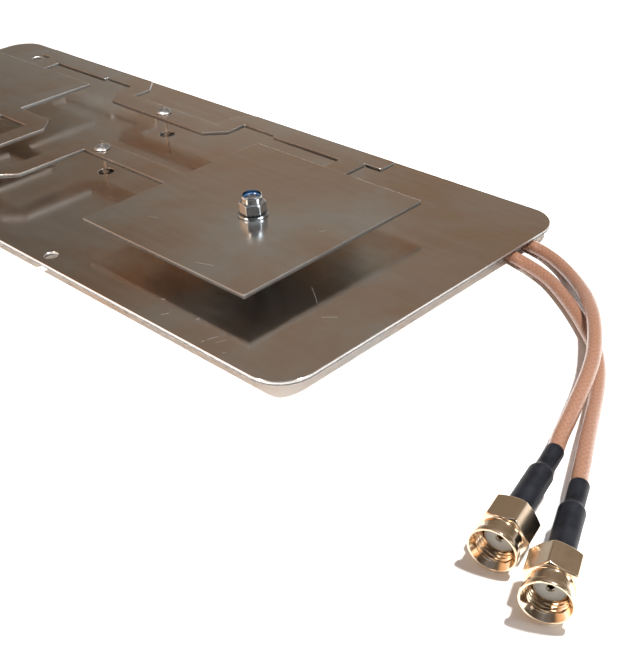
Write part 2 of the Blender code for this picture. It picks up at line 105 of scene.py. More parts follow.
class Look:
    """One procedural material: a Principled shader and short ways to wire nodes into it."""

    def __init__(self, name, colour, roughness, metallic=0.0, **sockets):
        self.material = bpy.data.materials.new(name)
        self.material.use_nodes = True
        self.tree = self.material.node_tree
        self.shader = self.tree.nodes["Principled BSDF"]
        self.set("Base Color", (*colour, 1.0))
        self.set("Roughness", roughness)
        self.set("Metallic", metallic)
        for socket, value in sockets.items():
            self.set(socket.replace("_", " ").title().replace("Ior", "IOR"), value)
        coordinates = self.tree.nodes.new("ShaderNodeTexCoord")
        self.spot, self.uv = coordinates.outputs["Object"], coordinates.outputs["UV"]

    def set(self, socket, value):
        self.shader.inputs[socket].default_value = value

    def to(self, socket, source):
        self.tree.links.new(source, self.shader.inputs[socket])

    def math(self, operation, a, b=0.0, clamp=False):
        return wired(self.tree, "ShaderNodeMath", (a, b), operation=operation, use_clamp=clamp)

    def times(self, a, b, clamp=False):
        return self.math("MULTIPLY", a, b, clamp)

    def plus(self, a, b, clamp=False):
        return self.math("ADD", a, b, clamp)

    def split(self, vector):
        return wired(self.tree, "ShaderNodeSeparateXYZ", (vector,)).node.outputs

    def place(self, scale=(1, 1, 1), turn=(0, 0, 0), move=(0, 0, 0)):
        return wired(self.tree, "ShaderNodeMapping",
                     {"Vector": self.spot, "Location": move, "Rotation": turn, "Scale": scale})

    def noise(self, scale, detail=3.0, rough=0.55, vector=None, distortion=0.0):
        return wired(self.tree, "ShaderNodeTexNoise",
                     {"Vector": vector or self.spot, "Scale": scale, "Detail": detail, "Roughness": rough,
                      "Distortion": distortion}, "Fac")

    def cells(self, scale, vector=None, feature="F1"):
        return wired(self.tree, "ShaderNodeTexVoronoi", {"Vector": vector or self.spot, "Scale": scale},
                     "Distance", feature=feature)

    def spread(self, value, low, high, out_low=0.0, out_high=1.0):
        return wired(self.tree, "ShaderNodeMapRange", (value, low, high, out_low, out_high))

    def mix(self, factor, a, b):
        a, b = ((*end[:3], 1.0) if isinstance(end, tuple) else end for end in (a, b))
        return wired(self.tree, "ShaderNodeMix", {"Factor": factor, 6: a, 7: b}, 2, data_type="RGBA")

    def bump(self, height, distance):
        return wired(self.tree, "ShaderNodeBump", {"Height": height, "Distance": distance})


# ---------------- materials

def scratch(look, spot, degrees, length, width):
    """A mask, 1 on a thin, slightly bowed scratch of that length and width, centred on spot."""
    cos, sin = math.cos(math.radians(degrees)), math.sin(math.radians(degrees))
    x, y, _ = look.split(look.place(move=(-spot[0] * MM, -spot[1] * MM, 0)))
    along = look.plus(look.times(x, cos), look.times(y, sin))
    side = look.math("SUBTRACT", look.times(y, cos), look.times(x, sin))
    bow = look.math("POWER", look.math("DIVIDE", along, length * MM), 2.0)
    side = look.plus(side, look.times(bow, length * MM * 0.06))
    inside = look.spread(look.math("ABSOLUTE", along), length * MM * 0.5, length * MM * 0.42)
    thin = look.spread(look.math("ABSOLUTE", side), width * MM, width * MM * 0.3)
    return look.times(inside, thin, clamp=True)


def scaled(tone, *factors):
    """A colour with its channels multiplied by one factor, or by one each, and kept below 1."""
    factors = factors if len(factors) == 3 else factors * 3
    return tuple(min(1.0, channel * factor) for channel, factor in zip(tone, factors))


def sheet_metal(name, tone, rough, torn_and_shade_tone, smooth_and_shade_tone, bottom, scratches):
    """Rolled sheet: rolling lines along X, cloudy marks, scratches, and edges half torn, half smooth,
    darkened as painted shade.
    """
    look = Look(name, tone, rough, 1.0)
    normal = look.split(look.tree.nodes.new("ShaderNodeNewGeometry").outputs["Normal"])
    edge = look.spread(look.math("ABSOLUTE", normal[2]), 0.75, 0.25)
    _, _, z = look.split(look.spot)

    cloud = look.noise(22.0, 5.0, 0.6, distortion=0.6)
    lines = look.noise(1.0, 4.0, 0.7, look.place(scale=(60, 2600, 60)))
    broad_lines = look.noise(1.0, 3.0, 0.6, look.place(scale=(18, 420, 18)))
    grain = look.noise(2600.0, 2.0, 0.7)
    brown, grey = scaled(tone, 0.97, 0.76, 0.61), scaled(tone, 0.96, 1.08, 1.17)
    colour = look.mix(look.spread(cloud, 0.32, 0.68), brown, grey)
    colour = look.mix(look.times(look.spread(broad_lines, 0.35, 0.7), 0.30), colour, scaled(tone, 1.12))
    stain = look.spread(look.noise(9.0, 3.0, 0.5, look.place(move=(0.4, 0.1, 0)), 1.2), 0.52, 0.72)
    colour = look.mix(look.times(stain, 0.28), colour, scaled(tone, 0.78, 0.70, 0.62))

    marks = scratch(look, *scratches[0])
    for mark in scratches[1:]:
        marks = look.math("MAXIMUM", marks, scratch(look, *mark))
    fine = look.cells(95.0, look.place(turn=(0, 0, 0.6), scale=(0.35, 9.0, 1)), "DISTANCE_TO_EDGE")
    patchy = look.spread(look.noise(38.0, 2.0), 0.60, 0.70)
    fine = look.times(look.spread(fine, 0.012, 0.0), patchy, clamp=True)
    marks = look.math("MAXIMUM", marks, look.times(fine, 0.15))

    wavy = look.plus(z, look.times(look.noise(900.0, 3.0), 0.00035))
    burnish = look.spread(wavy, (bottom + 0.62) * MM, (bottom + 0.70) * MM)
    torn = look.noise(1.0, 4.0, 0.7, look.place(scale=(5200, 5200, 700)))
    # Edge faces: real torn and burnished zones, but their dark, cool tones are painted shade on the side
    # faces.
    cool = scaled(tone, 0.94, 1.0, 1.06)
    shear_and_shade = look.mix(burnish, scaled(cool, torn_and_shade_tone), scaled(cool, smooth_and_shade_tone))
    shear_and_shade = look.mix(look.times(look.spread(torn, 0.45, 0.75), 0.35), shear_and_shade, scaled(cool, torn_and_shade_tone * 1.2))
    colour = look.mix(look.times(marks, 0.8), colour, scaled(tone, 1.7))
    look.to("Base Color", look.mix(edge, colour, shear_and_shade))

    haze = look.spread(cloud, 0.25, 0.75, rough - 0.04, rough + 0.07)
    haze = look.plus(haze, look.spread(lines, 0.3, 0.7, -0.03, 0.03))
    haze = look.plus(haze, look.times(marks, 0.25))
    look.to("Roughness", look.plus(haze, look.times(edge, 0.30), clamp=True))

    height = look.plus(look.times(lines, 0.6), look.times(grain, 0.4))
    height = look.plus(height, look.times(look.times(torn, edge), 6.0))
    height = look.math("SUBTRACT", height, look.times(marks, 3.0))
    look.to("Normal", look.bump(height, 0.0000025))
    return look.material


def plated_metal(name, tone, rough, worn=None, satin_outside=None):
    """Bright plated or turned metal: cloudy, finely grained, a little tarnished, duller past a radius."""
    look = Look(name, tone, rough, 1.0)
    cloud = look.noise(420.0, 4.0, 0.6)
    patches = look.noise(150.0, 3.0, 0.5, look.place(move=(0.3, 0.2, 0.1)))
    colour = look.mix(look.spread(cloud, 0.4, 0.75, 0.0, 0.55), tone, worn or scaled(tone, 0.78))
    colour = look.mix(look.spread(patches, 0.5, 0.8, 0.0, 0.35), colour, scaled(tone, 1.08))
    look.to("Base Color", colour)
    haze = look.spread(cloud, 0.3, 0.75, rough * 0.75, rough * 1.45)
    if satin_outside:
        x, y, _ = look.split(look.spot)
        across = look.math("SQRT", look.plus(look.times(x, x), look.times(y, y)))
        satin = look.spread(across, satin_outside * MM, (satin_outside + 0.15) * MM)
        haze = look.plus(haze, look.times(satin, 0.05))
    look.to("Roughness", haze)
    look.to("Normal", look.bump(look.noise(1500.0, 4.0, 0.65), 0.0000015))
    return look.material


BRAID_CARRIERS, BRAID_STRANDS = 8, 5


def braid_height(look, pitch):
    """Height of an interwoven braid from the tube's own UV: u runs along it in metres, v once round."""
    along, around, _ = look.split(look.uv)
    steps = look.math("DIVIDE", along, pitch)
    turns = look.times(around, float(BRAID_CARRIERS))
    a, b = look.plus(steps, turns), look.math("SUBTRACT", steps, turns)
    a_in, b_in = look.math("FRACT", a), look.math("FRACT", b)
    parity = look.plus(look.math("FLOOR", a), look.math("FLOOR", b))
    over = look.math("GREATER_THAN", look.math("FRACT", look.times(parity, 0.5)), 0.25)

    def wave(value, halves):
        return look.math("SINE", look.times(value, math.pi * halves))

    def ribbon(across, length):
        crown = look.plus(0.55, look.times(wave(length, 1), 0.45))
        body = look.times(look.math("POWER", wave(across, 1), 0.4), crown)
        wire = look.math("ABSOLUTE", wave(across, BRAID_STRANDS))
        return look.times(body, look.plus(0.7, look.times(wire, 0.3)))

    top, other = ribbon(a_in, b_in), ribbon(b_in, a_in)
    return look.plus(other, look.times(look.math("SUBTRACT", top, other), over))


def cable_look():
    """Thin clear brown fluoropolymer jacket, drawn tight over a tinned copper braid, with painted shade and
    sparkle on the braid.
    """
    look = Look("cable_jacket", (0.56, 0.31, 0.21), 0.42, 0.0,
                coat_weight=0.75, coat_roughness=0.12, coat_ior=1.36)
    height = braid_height(look, 0.00142)
    speck = look.noise(3400.0, 2.0, 0.6)
    # Painted shade in the braid's valleys and painted light on its crowns; the bright and dark specks are a
    # painted sparkle of light off its wires.
    braid_shade, lit = (0.20, 0.088, 0.050), (0.33, 0.175, 0.118)
    colour = look.mix(look.spread(height, 0.15, 0.95), braid_shade, lit)
    colour = look.mix(look.times(look.spread(speck, 0.55, 0.75), 0.45), colour, (0.52, 0.32, 0.24))
    colour = look.mix(look.times(look.spread(speck, 0.42, 0.27), 0.55), colour, (0.12, 0.048, 0.028))
    tint = look.noise(60.0, 2.0)
    colour = look.mix(look.spread(tint, 0.35, 0.7, 0.0, 0.25), colour, (0.27, 0.14, 0.075))
    look.to("Base Color", colour)
    look.to("Metallic", look.spread(height, 0.6, 0.98, 0.0, 0.35))
    look.to("Roughness", look.spread(speck, 0.3, 0.7, 0.52, 0.28))
    look.to("Normal", look.bump(look.plus(height, look.times(speck, 0.6)), 0.00004))
    look.to("Coat Normal", look.bump(height, 0.00001))
    return look.material


def bare_braid_look():
    """Tinned copper braid where the jacket is stripped off it."""
    look = Look("tinned_braid", (0.66, 0.65, 0.62), 0.3, 1.0)
    height = braid_height(look, 0.0011)
    # Darker in the weave's valleys, lighter on its crowns: painted shade and light.
    look.to("Base Color", look.mix(look.spread(height, 0.1, 0.9), (0.28, 0.26, 0.23), (0.78, 0.77, 0.74)))
    look.to("Roughness", look.spread(look.noise(900.0), 0.3, 0.7, 0.22, 0.42))
    look.to("Normal", look.bump(height, 0.00008))
    return look.material


def solder_look():
    """Dull solder: frosty in patches, with traces of brown flux."""
    look = Look("solder", (0.45, 0.45, 0.45), 0.35, 1.0)
    frost = look.noise(700.0, 4.0, 0.6)
    flow = look.noise(260.0, 3.0, 0.5, distortion=1.0)
    colour = look.mix(look.spread(frost, 0.4, 0.7), (0.36, 0.35, 0.34), (0.22, 0.21, 0.20))
    colour = look.mix(look.spread(flow, 0.55, 0.75, 0.0, 0.5), colour, (0.18, 0.13, 0.10))
    look.to("Base Color", colour)
    look.to("Roughness", look.spread(frost, 0.35, 0.7, 0.30, 0.55))
    look.to("Normal", look.bump(look.plus(frost, flow), 0.00002))
    return look.material


def plastic_look(name, tone, rough, mottle, **sockets):
    """Plastic, slightly mottled and finely grained."""
    look = Look(name, tone, rough, 0.0, **sockets)
    cloud = look.noise(500.0, 3.0)
    colour = look.mix(look.spread(cloud, 0.3, 0.7), scaled(tone, 1 - mottle), scaled(tone, 1 + mottle))
    look.to("Base Color", colour)
    look.to("Roughness", look.spread(cloud, 0.3, 0.75, rough * 0.85, rough * 1.2))
    look.to("Normal", look.bump(look.noise(1800.0, 4.0, 0.6), 0.000004))
    return look.material


def shrink_look():
    """Heat-shrink sleeve: blue-black, satin, finely wrinkled, with a few dust specks."""
    look = Look("heat_shrink", (0.012, 0.013, 0.019), 0.5, 0.0, specular_ior_level=0.18)
    cloud = look.noise(330.0, 4.0, 0.6)
    colour = look.mix(look.spread(cloud, 0.3, 0.75), (0.004, 0.005, 0.007), (0.013, 0.014, 0.021))
    dust = look.spread(look.cells(1500.0), 0.075, 0.03)
    dust = look.times(dust, look.spread(look.noise(420.0, 2.0), 0.62, 0.70), clamp=True)
    look.to("Base Color", look.mix(look.times(dust, 0.6), colour, (0.42, 0.44, 0.48)))
    look.to("Roughness", look.spread(cloud, 0.25, 0.75, 0.34, 0.52))
    skin = look.plus(look.noise(1500.0, 4.0, 0.6), look.times(cloud, 2.0))
    look.to("Normal", look.bump(skin, 0.000018))
    return look.material


LOOKS = {
    # The plate's and the sheet's two edge tones (fourth and fifth arguments) are darkened as painted shade.
    "plate": sheet_metal("plate_metal", (0.82, 0.76, 0.70), 0.13, 0.14, 0.66, PLATE_BOTTOM, [
        ((71.7, -41.2), 62, 1.8, 0.08), ((86.3, -40.9), 66, 2.6, 0.09), ((88.5, -40.5), 66, 2.4, 0.08),
        ((85.6, -42.9), 80, 0.8, 0.10), ((78.5, -38.1), 70, 0.8, 0.12), ((66.7, -37.6), 30, 1.2, 0.07),
        ((98.6, -20.5), 40, 3.6, 0.07), ((90.2, -16.2), -36, 7.5, 0.05), ((92.0, -43.0), 50, 0.9, 0.08)]),
    "sheet": sheet_metal("sheet_metal", (0.82, 0.76, 0.70), 0.14, 0.10, 0.20, SHEET_BOTTOM, [
        ((71.2, -29.1), 20, 4.8, 0.05), ((45.0, -22.0), 20, 3.0, 0.04), ((80.0, -3.0), 70, 2.0, 0.04)]),
    "zinc": plated_metal("zinc_plate", (0.50, 0.53, 0.56), 0.11, (0.34, 0.37, 0.41)),
    "spacer": plated_metal("spacer_metal", (0.62, 0.61, 0.60), 0.30),
    "gold": plated_metal("gold_plate", (0.87, 0.72, 0.54), 0.14, (0.76, 0.58, 0.40)),
    "satin_gold": plated_metal("gold_satin", (0.87, 0.71, 0.53), 0.12, (0.76, 0.57, 0.40), 3.85),
    "bronze": plated_metal("spring_bronze", (0.58, 0.38, 0.22), 0.3),
    "wire": plated_metal("tinned_wire", (0.40, 0.36, 0.32), 0.24, (0.28, 0.20, 0.15)),
    "solder": solder_look(),
    "braid": bare_braid_look(),
    "cable": cable_look(),
    "nylon": plastic_look("nylon_blue", (0.012, 0.048, 0.115), 0.22, 0.25, specular_ior_level=0.6),
    # The white PTFE is greyed: painted shade for its place inside the plug's mouth.
    "ptfe": plastic_look("ptfe_white", (0.44, 0.45, 0.43), 0.42, 0.06, subsurface_weight=0.1,
                         subsurface_scale=0.0006),
    # The core's insulation is made dark brown: painted shade where it shows in the plate's feed hole.
    "liner": plastic_look("core_liner", (0.105, 0.080, 0.060), 0.45, 0.2),
    "glue": plastic_look("hot_glue", (0.80, 0.74, 0.58), 0.22, 0.10, coat_weight=0.3),
    "shrink": shrink_look(),
}


# ---------------- mesh helpers

def add_object(name, mesh, look, body="antenna", stands_for=(), at=(0, 0, 0), heading=None):
    """Link a mesh, give it a look, and hang it on its body in place of the nodes it stands for."""
    item = linked(name, mesh)
    item.location = Vector(at) * MM
    if heading is not None:
        item.rotation_euler = (math.pi / 2, 0, heading)
    mesh.materials.clear()
    mesh.materials.append(LOOKS[look])
    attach(item, body)
    if stands_for:
        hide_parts(*stands_for)
    return item


def smooth(mesh, degrees=32.0):
    """Smooth shading, broken at edges sharper than an angle."""
    mesh.shade_smooth()
    mesh.set_sharp_from_angle(angle=math.radians(degrees))


def weigh(item):
    """Weighted normals, so that flats stay flat next to small roundings."""
    step = item.modifiers.new("weighted", "WEIGHTED_NORMAL")
    step.keep_sharp = True
    step.weight = 80
    return item


def filleted(profile, radius, closed=True, steps=3):
    """A profile with each corner rounded by up to that radius."""
    count = len(profile)
    out = []
    for i, point in enumerate(profile):
        here = Vector(point)
        if not closed and i in (0, count - 1):
            out.append(tuple(here))
            continue
        back, ahead = Vector(profile[i - 1]) - here, Vector(profile[(i + 1) % count]) - here
        turn = back.angle(ahead) if back.length > 1e-6 and ahead.length > 1e-6 else math.pi
        if turn > math.radians(168):
            out.append(tuple(here))
            continue
        reach = min(radius / math.tan(turn / 2), back.length * 0.45, ahead.length * 0.45)
        start, end = here + back.normalized() * reach, here + ahead.normalized() * reach
        for k in range(steps + 1):
            t = k / steps
            out.append(tuple(start * (1 - t) ** 2 + here * (2 * t * (1 - t)) + end * t ** 2))
    return out


def hexagon_radius(angle, across_flats, sharpness=90.0):
    """Distance from the axis to a hexagon's side at an angle, with slightly rounded corners."""
    total = 0.0
    for k in range(6):
        facing = math.cos(angle - math.radians(30 + 60 * k))
        if facing > 0:
            total += (facing / (across_flats / 2)) ** sharpness
    return total ** (-1 / sharpness)


def smaller(a, b):
    """The smaller of two radii, blended where they are nearly equal."""
    return (a ** -ROUND_POWER + b ** -ROUND_POWER) ** (-1 / ROUND_POWER)


def hex_angles(twist=0.0):
    """Angles round a hexagon turned by twist, close together at its corners."""
    steps = (0.0, 0.5, 1.2, 2.2, 3.8, 6.5, 10.5, 16.0, 23.0)
    angles = []
    for corner in range(0, 360, 60):
        angles += [corner + s for s in steps] + [corner + 30] + [corner + 60 - s for s in steps[:0:-1]]
    return [math.radians(a) + twist for a in angles]


def finished(work, name, sharp_degrees=32.0):
    """The mesh of a bmesh, with its normals outward and smooth shading."""
    bmesh.ops.recalc_face_normals(work, faces=work.faces)
    mesh = bpy.data.meshes.new(name)
    work.to_mesh(mesh)
    work.free()
    smooth(mesh, sharp_degrees)
    return mesh


def turned_mesh(name, profile, angles=48, closed=True, reach=None):
    """Turn (radius, height) points about Z. reach(radius, height, angle) may change the radius."""
    if isinstance(angles, int):
        angles = [2 * math.pi * i / angles for i in range(angles)]
    work, rings = bmesh.new(), []
    for radius, height in profile:
        if radius < 1e-6:
            rings.append([work.verts.new((0, 0, height * MM))])
            continue
        ring = []
        for angle in angles:
            r = reach(radius, height, angle) if reach else radius
            ring.append(work.verts.new(Vector((r * math.cos(angle), r * math.sin(angle), height)) * MM))
        rings.append(ring)
    pairs = list(zip(rings, rings[1:]))
    if closed:
        pairs.append((rings[-1], rings[0]))
    for upper, lower in pairs:
        count = max(len(upper), len(lower))
        for i in range(count):
            j = (i + 1) % count
            corners = [ring[k % len(ring)] for ring, k in ((upper, i), (upper, j), (lower, j), (lower, i))]
            face = list(dict.fromkeys(corners))
            if len(face) > 2:
                work.faces.new(face)
    return finished(work, name)


def lofted(sections):
    """A closed bmesh through rings of points, with a face on each end."""
    work = bmesh.new()
    rings = [[work.verts.new(point * MM) for point in section] for section in sections]
    for here, there in zip(rings, rings[1:]):
        for k in range(len(here)):
            j = (k + 1) % len(here)
            work.faces.new((here[k], here[j], there[j], there[k]))
    work.faces.new(rings[0])
    work.faces.new(reversed(rings[-1]))
    return work


def threaded(low, high, inner, outer, pitch, depth, outward):
    """Change of radius that cuts a helical thread into walls between two heights and two radii."""
    def reach(radius, height, angle):
        if not (low <= height <= high and inner <= radius <= outer):
            return radius
        phase = (height / pitch - angle / (2 * math.pi)) % 1.0
        ridge = 1 - abs(2 * phase - 1)
        ridge = min(1.0, max(0.0, (ridge - 0.12) / 0.76))
        fade = min(1.0, (height - low) / (pitch * 0.8), (high - height) / (pitch * 0.8))
        return radius + outward * depth * ridge * max(0.0, fade)
    return reach


def ladder(radius, start, end, step):
    """Evenly spaced profile points along a straight wall."""
    count = max(1, round(abs(end - start) / step))
    return [(radius, start + (end - start) * i / count) for i in range(count + 1)]


def smooth_path(route, spacing):
    """Points every spacing along a smooth curve through a route, and the curve's length."""
    knots = [Vector(p) for p in route]
    knots = [knots[0] * 2 - knots[1]] + knots + [knots[-1] * 2 - knots[-2]]
    fine = []
    for p0, p1, p2, p3 in zip(knots, knots[1:], knots[2:], knots[3:]):
        for i in range(20):
            t = i / 20
            fine.append(0.5 * ((2 * p1) + (p2 - p0) * t + (2 * p0 - 5 * p1 + 4 * p2 - p3) * t ** 2
                               + (3 * p1 - p0 - 3 * p2 + p3) * t ** 3))
    fine.append(knots[-2])
    lengths = [0.0]
    for a, b in zip(fine, fine[1:]):
        lengths.append(lengths[-1] + (b - a).length)
    count = max(2, round(lengths[-1] / spacing))
    points, k = [], 0
    for i in range(count + 1):
        want = lengths[-1] * i / count
        while k < len(lengths) - 2 and lengths[k + 1] < want:
            k += 1
        points.append(fine[k].lerp(fine[k + 1], (want - lengths[k]) / (lengths[k + 1] - lengths[k])))
    return points, lengths[-1]


def tube_mesh(name, points, radius, sides=24):
    """A closed tube along points, its UV along the length in metres and once round."""
    work = bmesh.new()
    uv = work.loops.layers.uv.new("UVMap")
    up = Vector((0, 0, 1))
    rings, lengths, run = [], [], 0.0
    for i, point in enumerate(points):
        ahead = (points[min(i + 1, len(points) - 1)] - points[max(i - 1, 0)]).normalized()
        up = (up - ahead * up.dot(ahead)).normalized()
        side = ahead.cross(up)
        ring = []
        for k in range(sides):
            angle = 2 * math.pi * k / sides
            out = up * (radius * math.cos(angle)) + side * (radius * math.sin(angle))
            ring.append(work.verts.new((point + out) * MM))
        rings.append(ring)
        run += (point - points[i - 1]).length if i else 0.0
        lengths.append(run * MM)
    for i in range(len(rings) - 1):
        for k in range(sides):
            j = (k + 1) % sides
            face = work.faces.new((rings[i][k], rings[i][j], rings[i + 1][j], rings[i + 1][k]))
            spots = ((lengths[i], k), (lengths[i], k + 1), (lengths[i + 1], k + 1), (lengths[i + 1], k))
            for loop, (u, v) in zip(face.loops, spots):
                loop[uv].uv = (u, v / sides)
    work.faces.new(reversed(rings[0]))
    work.faces.new(rings[-1])
    return finished(work, name, 50.0)


# ---------------- leads

RUN_ROUTES = {
    "a": ((12.2, -5.4, 1.45), (20, -5.2, 1.45), (32, -3.0, 1.45), (46, 4.0, 1.45), (60, 13.0, 1.45),
          (74, 21.0, 1.45), (88, 26.2, 1.45), (97, 27.4, 1.45), (103.98, 27.4, 1.45)),
    "b": ((5.2, 20.7, 1.45), (14, 20.9, 1.45), (30, 23.0, 1.45), (50, 27.6, 1.45), (70, 32.0, 1.45),
          (85, 34.2, 1.45), (95, 34.6, 1.45), (103.98, 34.1, 1.45)),
}
CORD_ROUTES = {
    "a": ((104.0, 27.4, 1.45), (107.6, 27.2, 1.45), (111.5, 26.4, 1.45), (116.7, 25.0, 1.45),
          (121.9, 22.9, 1.45), (127.9, 19.2, 1.45), (133.4, 15.2, 1.45), (138.2, 11.3, 1.45),
          (142.0, 7.8, 1.45), (145.6, 3.6, 1.45), (148.8, -1.2, 1.5), (151.95, -6.9, 1.85),
          (155.2, -13.3, 2.55), (158.4, -19.7, 3.4), (161.7, -26.1, 4.15), (164.2, -31.1, 4.52)),
    "b": ((104.0, 34.1, 1.45), (107.9, 33.8, 1.45), (111.6, 33.2, 1.45), (115.7, 31.9, 1.5),
          (119.6, 30.0, 1.6), (123.8, 27.3, 1.9), (128.3, 23.7, 2.5), (133.2, 19.0, 3.5),
          (138.3, 12.9, 4.55), (143.1, 6.1, 4.9), (146.7, -0.1, 4.9), (149.3, -6.0, 4.8),
          (151.5, -12.0, 4.6), (153.6, -18.0, 4.4), (155.3, -23.2, 4.22)),
}
SLEEVE_END = -26.7
CORD_END_IN_PLUG = -14.3


def on_plug(port, distance):
    """The point on a plug's axis, a distance ahead of its front face."""
    (x, y, z), heading, _ = PLUGS[port]
    return (x + math.sin(heading) * distance, y - math.cos(heading) * distance, z)


def make_leads():
    """Each lead in two pieces, the cord outside the plate and the run glued below it."""
    cords = []
    for port, route in CORD_ROUTES.items():
        stations = (SLEEVE_END + 0.5, (SLEEVE_END + CORD_END_IN_PLUG) / 2, CORD_END_IN_PLUG)
        points, length = smooth_path([*route, *(on_plug(port, d) for d in stations)], 1.0)
        cord = add_object(f"lead_{port}", tube_mesh(f"lead_{port}", points, CABLE_RADIUS), "cable",
                          stands_for=[f"cable_{port}"])
        cords.append((cord, port, points, length))
        run, _ = smooth_path(RUN_ROUTES[port], 1.0)
        add_object(f"lead_run_{port}", tube_mesh(f"lead_run_{port}", run, CABLE_RADIUS), "cable",
                   stands_for=[f"cable_run_{port}"])
    return cords


CORDS = make_leads()


# ---------------- plugs

def make_plug(port):
    """A plug's seven pieces, turned about its axis. Heights run back from its front face."""
    at, heading, twist = PLUGS[port]

    def piece(name, mesh, look, node, slot, body="antenna"):
        return add_object(f"{name}_{port}", mesh, look, body, [f"{node}_{port}"], at, heading)

    thread = threaded(-4.45, -0.9, 2.7, 3.3, PLUG_THREAD_PITCH, 0.30, -1)

    def nut_reach(radius, height, angle):
        if radius < 3.5:
            return thread(radius, height, angle)
        if radius < 4.12 and height > -3.3:
            return radius
        return smaller(radius, hexagon_radius(angle - twist, PLUG_NUT_FLATS))

    corner, neck, front, back = PLUG_NUT_FLATS / HEX, 3.6, -3.35, -8.6
    outer = filleted([(3.18, -0.95), (3.74, -0.02), (3.98, 0.0), (4.1, -0.12), (4.1, -0.98), (3.95, -1.1),
                      (neck, -1.22), (neck, front + 0.08), (neck + 0.1, front)], 0.10, closed=False)
    chamfer_front = [(neck + 0.1 + (corner - neck - 0.1) * t, front - 0.42 * t ** 1.5)
                     for t in (0.2, 0.35, 0.5, 0.62, 0.74, 0.86, 1.0)]
    chamfer_back = [(corner - (corner - 3.85) * t, back + 0.40 * (1 - t) ** 1.5)
                    for t in (0.0, 0.14, 0.28, 0.42, 0.56, 0.7, 0.85, 1.0)]
    flank = ladder(corner, front - 0.6, back + 0.55, 0.8)
    rear = [(3.4, back), (2.72, back), (2.62, back + 0.1), (2.62, -7.45), (2.7, -7.4), (3.24, -7.4),
            (3.24, -4.72)]
    bore = ladder(3.16, -4.6, -0.98, 0.085)
    nut = turned_mesh(f"nut_{port}", outer + chamfer_front + flank + chamfer_back + rear + bore,
                      hex_angles(twist), reach=nut_reach)
    weigh(piece("coupling", nut, "satin_gold", "coupling_nut", "gold_plate", f"nut_{port}"))

    body_profile = filleted([
        (1.7, -8.2), (1.7, -5.6), (2.38, -5.6), (2.38, -3.0), (2.55, -3.0), (2.55, -4.9), (2.95, -5.0),
        (2.95, -5.9), (2.45, -5.9), (2.45, -6.5), (2.05, -6.5), (2.05, -7.2), (2.45, -7.2), (2.45, -9.0),
        (1.4, -9.0), (1.4, -13.9)], 0.05, closed=False)
    shell = [(0, -8.2)] + body_profile + [(1.35, -14.0), (0, -14.0)]
    mesh = turned_mesh(f"shell_{port}", shell, 64, closed=False)
    weigh(piece("shell", mesh, "gold", "connector_body", "gold_plate"))

    disc = filleted([(0.66, -3.04), (2.34, -3.02), (2.34, -5.45), (1.55, -5.45), (1.55, -8.0),
                     (0.66, -8.0)], 0.07)
    weigh(piece("dielectric_disc", turned_mesh(f"disc_{port}", disc, 64), "ptfe", "dielectric", "ptfe"))

    def slotted(radius, height, angle):
        if height > -5.2 and radius > 0.5:
            gap = min(abs((angle - a + math.pi) % (2 * math.pi) - math.pi) for a in (0.4, 0.4 + math.pi))
            return radius - 0.10 if gap < 0.12 else radius
        return radius

    socket = [(0, -5.6), (0.40, -5.5), (0.45, -5.3), (0.45, -3.55), (0.50, -3.33), (0.56, -3.3),
              (0.61, -3.38)]
    socket += ladder(0.61, -3.6, -7.8, 0.5) + [(0.55, -7.9), (0, -7.9)]
    mesh = turned_mesh(f"socket_{port}", socket, 36, closed=False, reach=slotted)
    weigh(piece("socket_contact", mesh, "gold", "centre_contact", "gold_plate"))

    corners = ((2.15, -6.62), (3.0, -6.62), (3.0, -7.08), (2.15, -7.08))
    split = math.radians(14)
    sections = []
    for i in range(49):
        angle = split + (2 * math.pi - 2 * split) * i / 48
        sections.append([Vector((r * math.cos(angle), r * math.sin(angle), z)) for r, z in corners])
    piece("snap_ring", finished(lofted(sections), f"snap_{port}"), "bronze", "retaining_ring", "bronze")

    ferrule = filleted([(1.6, -9.3), (1.85, -9.3), (1.85, -17.3), (1.6, -17.3)], 0.06)
    piece("ferrule", turned_mesh(f"ferrule_{port}", ferrule, 48), "gold", "crimp_ferrule", "gold_plate")

    seed = 3.0 if port == "a" else 9.0

    def wrinkled(radius, height, angle):
        spot = Vector((math.cos(angle) * 0.9, math.sin(angle) * 0.9, height * 0.32 + seed))
        swell = noise.noise(spot) * 0.04
        if height > -20.4:
            hexed = 0.035 * math.cos(6 * angle + seed)
            swell += hexed * min(1.0, max(0.0, (-9.6 - height) / 1.0)) * (1 if height > -17.3 else 0.3)
        return radius + swell if radius > 1.57 else radius

    outside = [(2.02, -9.15), (2.12, -9.17), (2.19, -9.3), (2.22, -9.6)] + ladder(2.2, -10.2, -19.4, 0.6)
    outside += [(2.2, -19.8), (2.18, -20.0), (2.13, -20.2), (2.03, -20.42), (1.9, -20.6), (1.78, -20.8),
                (1.71, -21.1)]
    outside += ladder(1.66, -21.6, -26.3, 0.5)
    outside += [(1.65, -26.55), (1.62, -26.67), (1.57, -26.7), (1.52, -26.67)]
    inside = [(1.5, -26.3), (1.5, -21.4), (1.92, -20.2), (1.92, -9.2)]
    sleeve = turned_mesh(f"sleeve_{port}", outside + inside, 48, reach=wrinkled)
    piece("sleeve", sleeve, "shrink", "heat_shrink", "heat_shrink")


for port_name in PLUGS:
    make_plug(port_name)


# ---------------- plate and sheet

def circle(centre, radius, count):
    """A round outline with that many points."""
    turns = (2 * math.pi * i / count for i in range(count))
    return [(centre[0] + radius * math.cos(a), centre[1] + radius * math.sin(a)) for a in turns]


def rounded_rectangle(length, width, radius, steps=16):
    """The outline of a plate about the origin."""
    points = []
    for quarter, (side_x, side_y) in enumerate(((1, 1), (-1, 1), (-1, -1), (1, -1))):
        middle = (side_x * (length / 2 - radius), side_y * (width / 2 - radius))
        for i in range(steps + 1):
            angle = math.pi / 2 * (quarter + i / steps)
            points.append((middle[0] + radius * math.cos(angle), middle[1] + radius * math.sin(angle)))
    return points


